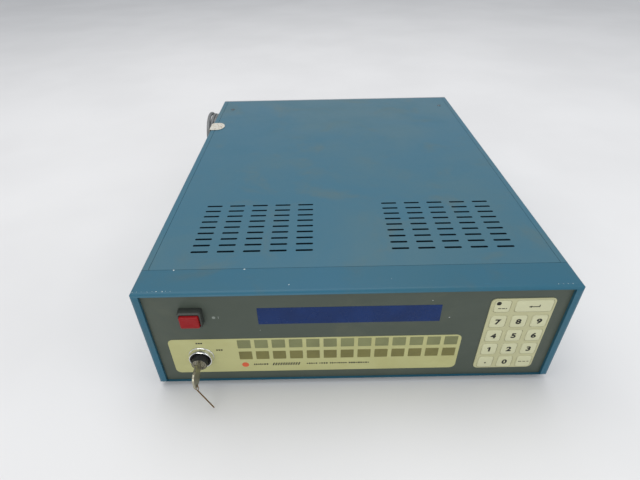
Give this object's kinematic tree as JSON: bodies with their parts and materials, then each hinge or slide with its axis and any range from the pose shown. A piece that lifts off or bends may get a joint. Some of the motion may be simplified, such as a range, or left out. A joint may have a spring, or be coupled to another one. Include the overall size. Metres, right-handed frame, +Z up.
{
  "type": "function generator",
  "caption": "Bench function generator in a low blue steel case, with a blue display, indicator windows, a numeric keypad, a key lock, a red power button and a captive mains lead.",
  "frame": {"origin": "on the table, under the middle of the box round the case, its key and its rear sockets", "axes": "+X to the right across the front, +Y from the front to the back, +Z up"},
  "size_m": [0.458, 0.662, 0.1361],
  "materials": {
    "hood_paint": "satin blue paint",
    "cover_paint": "satin blue paint, worn",
    "rear_metal": "satin blue paint",
    "steel": "zinc plated",
    "panel_film": "fine matt film",
    "cream_film": "fine matt film",
    "key_film": "fine matt film",
    "display_blue": "tinted window",
    "display_tube": "display tube glass",
    "window_green": "translucent window",
    "window_olive": "translucent window",
    "lamp_red": "diffused lamp",
    "board": "circuit board",
    "board_brown": "paper based circuit board",
    "chrome": "polished",
    "lock_metal": "worn nickel",
    "black_plastic": "moulded",
    "key_nickel": "worn nickel plating",
    "wire": "tarnished wire",
    "red_plastic": "moulded",
    "core_steel": "varnished laminations",
    "winding": "taped winding",
    "capacitor_blue": "plastic sleeve",
    "ribbon_grey": "flat cable",
    "relief_rubber": "moulded",
    "cord_grey": "PVC sheath",
    "tag_paper": "paper tape",
    "foot_rubber": "moulded",
    "screw_steel": "painted over"
  },
  "bodies": {
    "case": {"front_hood": "hood_paint", "top_cover": "cover_paint", "bottom_cover": "cover_paint", "side_panel_left": "cover_paint", "side_panel_right": "cover_paint", "rear_panel": "rear_metal", "front_plate": "steel", "panel_overlay": "panel_film", "legend_strip": "cream_film", "display_window": "display_blue", "display_glass": "display_tube", "indicator_windows_upper": "window_green", "indicator_windows_lower": "window_olive", "indicator_leds": "lamp_red", "front_board": "board", "keypad_sheet": "cream_film", "keypad_board": "board_brown", "lock_body": "steel", "lock_ring": "chrome", "lock_collar": "black_plastic", "lock_nut": "steel", "lock_contacts": "black_plastic", "switch_housing": "black_plastic", "main_board": "board", "board_chips": "black_plastic", "transformer_core": "core_steel", "transformer_coil": "winding", "power_board": "board_brown", "capacitors": "capacitor_blue", "board_standoffs": "steel", "ribbon_cable": "ribbon_grey", "fuse_holder": "black_plastic", "bnc_connectors": "chrome", "data_connector": "steel", "strain_relief": "relief_rubber", "mains_cord": "cord_grey", "cord_coil": "cord_grey", "cord_tag": "tag_paper", "mains_plug": "cord_grey", "feet": "foot_rubber", "case_screws": "screw_steel"},
    "key_0": {"key_0": "key_film"},
    "key_1": {"key_1": "key_film"},
    "key_2": {"key_2": "key_film"},
    "key_3": {"key_3": "key_film"},
    "key_4": {"key_4": "key_film"},
    "key_5": {"key_5": "key_film"},
    "key_6": {"key_6": "key_film"},
    "key_7": {"key_7": "key_film"},
    "key_8": {"key_8": "key_film"},
    "key_9": {"key_9": "key_film"},
    "key_point": {"key_point": "key_film"},
    "key_dash": {"key_dash": "key_film"},
    "key_wide": {"key_wide": "key_film"},
    "key_mode": {"key_mode": "key_film"},
    "power_button": {"power_button": "red_plastic"},
    "lock_cylinder": {"lock_cylinder": "lock_metal"},
    "lock_key": {"lock_key": "key_nickel"},
    "wire_loop": {"wire_loop": "wire"},
    "fuse_cap": {"fuse_cap": "black_plastic"}
  },
  "joints": [
    {"name": "key_0_press", "type": "slide", "parent": "case", "child": "key_0", "axis": [0, 1, 0], "range_m": [0, 0.0004], "stiffness_N_per_m": 400},
    {"name": "key_1_press", "type": "slide", "parent": "case", "child": "key_1", "axis": [0, 1, 0], "range_m": [0, 0.0004], "stiffness_N_per_m": 400},
    {"name": "key_2_press", "type": "slide", "parent": "case", "child": "key_2", "axis": [0, 1, 0], "range_m": [0, 0.0004], "stiffness_N_per_m": 400},
    {"name": "key_3_press", "type": "slide", "parent": "case", "child": "key_3", "axis": [0, 1, 0], "range_m": [0, 0.0004], "stiffness_N_per_m": 400},
    {"name": "key_4_press", "type": "slide", "parent": "case", "child": "key_4", "axis": [0, 1, 0], "range_m": [0, 0.0004], "stiffness_N_per_m": 400},
    {"name": "key_5_press", "type": "slide", "parent": "case", "child": "key_5", "axis": [0, 1, 0], "range_m": [0, 0.0004], "stiffness_N_per_m": 400},
    {"name": "key_6_press", "type": "slide", "parent": "case", "child": "key_6", "axis": [0, 1, 0], "range_m": [0, 0.0004], "stiffness_N_per_m": 400},
    {"name": "key_7_press", "type": "slide", "parent": "case", "child": "key_7", "axis": [0, 1, 0], "range_m": [0, 0.0004], "stiffness_N_per_m": 400},
    {"name": "key_8_press", "type": "slide", "parent": "case", "child": "key_8", "axis": [0, 1, 0], "range_m": [0, 0.0004], "stiffness_N_per_m": 400},
    {"name": "key_9_press", "type": "slide", "parent": "case", "child": "key_9", "axis": [0, 1, 0], "range_m": [0, 0.0004], "stiffness_N_per_m": 400},
    {"name": "key_point_press", "type": "slide", "parent": "case", "child": "key_point", "axis": [0, 1, 0], "range_m": [0, 0.0004], "stiffness_N_per_m": 400},
    {"name": "key_dash_press", "type": "slide", "parent": "case", "child": "key_dash", "axis": [0, 1, 0], "range_m": [0, 0.0004], "stiffness_N_per_m": 400},
    {"name": "key_wide_press", "type": "slide", "parent": "case", "child": "key_wide", "axis": [0, 1, 0], "range_m": [0, 0.0004], "stiffness_N_per_m": 400},
    {"name": "key_mode_press", "type": "slide", "parent": "case", "child": "key_mode", "axis": [0, 1, 0], "range_m": [0, 0.0004], "stiffness_N_per_m": 400},
    {"name": "power_press", "type": "slide", "parent": "case", "child": "power_button", "axis": [0, 1, 0], "range_m": [0, 0.003], "stiffness_N_per_m": 300},
    {"name": "lock_turn", "type": "hinge", "parent": "case", "child": "lock_cylinder", "pos_m": [-0.16, -0.26, 0.0455], "axis": [0, 1, 0], "range_deg": [0, 60]},
    {"name": "key_withdraw", "type": "slide", "parent": "lock_cylinder", "child": "lock_key", "axis": [0, -1, 0], "range_m": [0, 0.03]},
    {"name": "loop_swing", "type": "hinge", "parent": "lock_key", "child": "wire_loop", "pos_m": [-0.16, -0.2895, 0.0401], "axis": [1, 0, 0], "range_deg": [-70, 5]},
    {"name": "fuse_cap_turn", "type": "hinge", "parent": "case", "child": "fuse_cap", "pos_m": [-0.165, 0.285, 0.088], "axis": [0, 1, 0], "range_deg": [0, 60]}
  ]
}
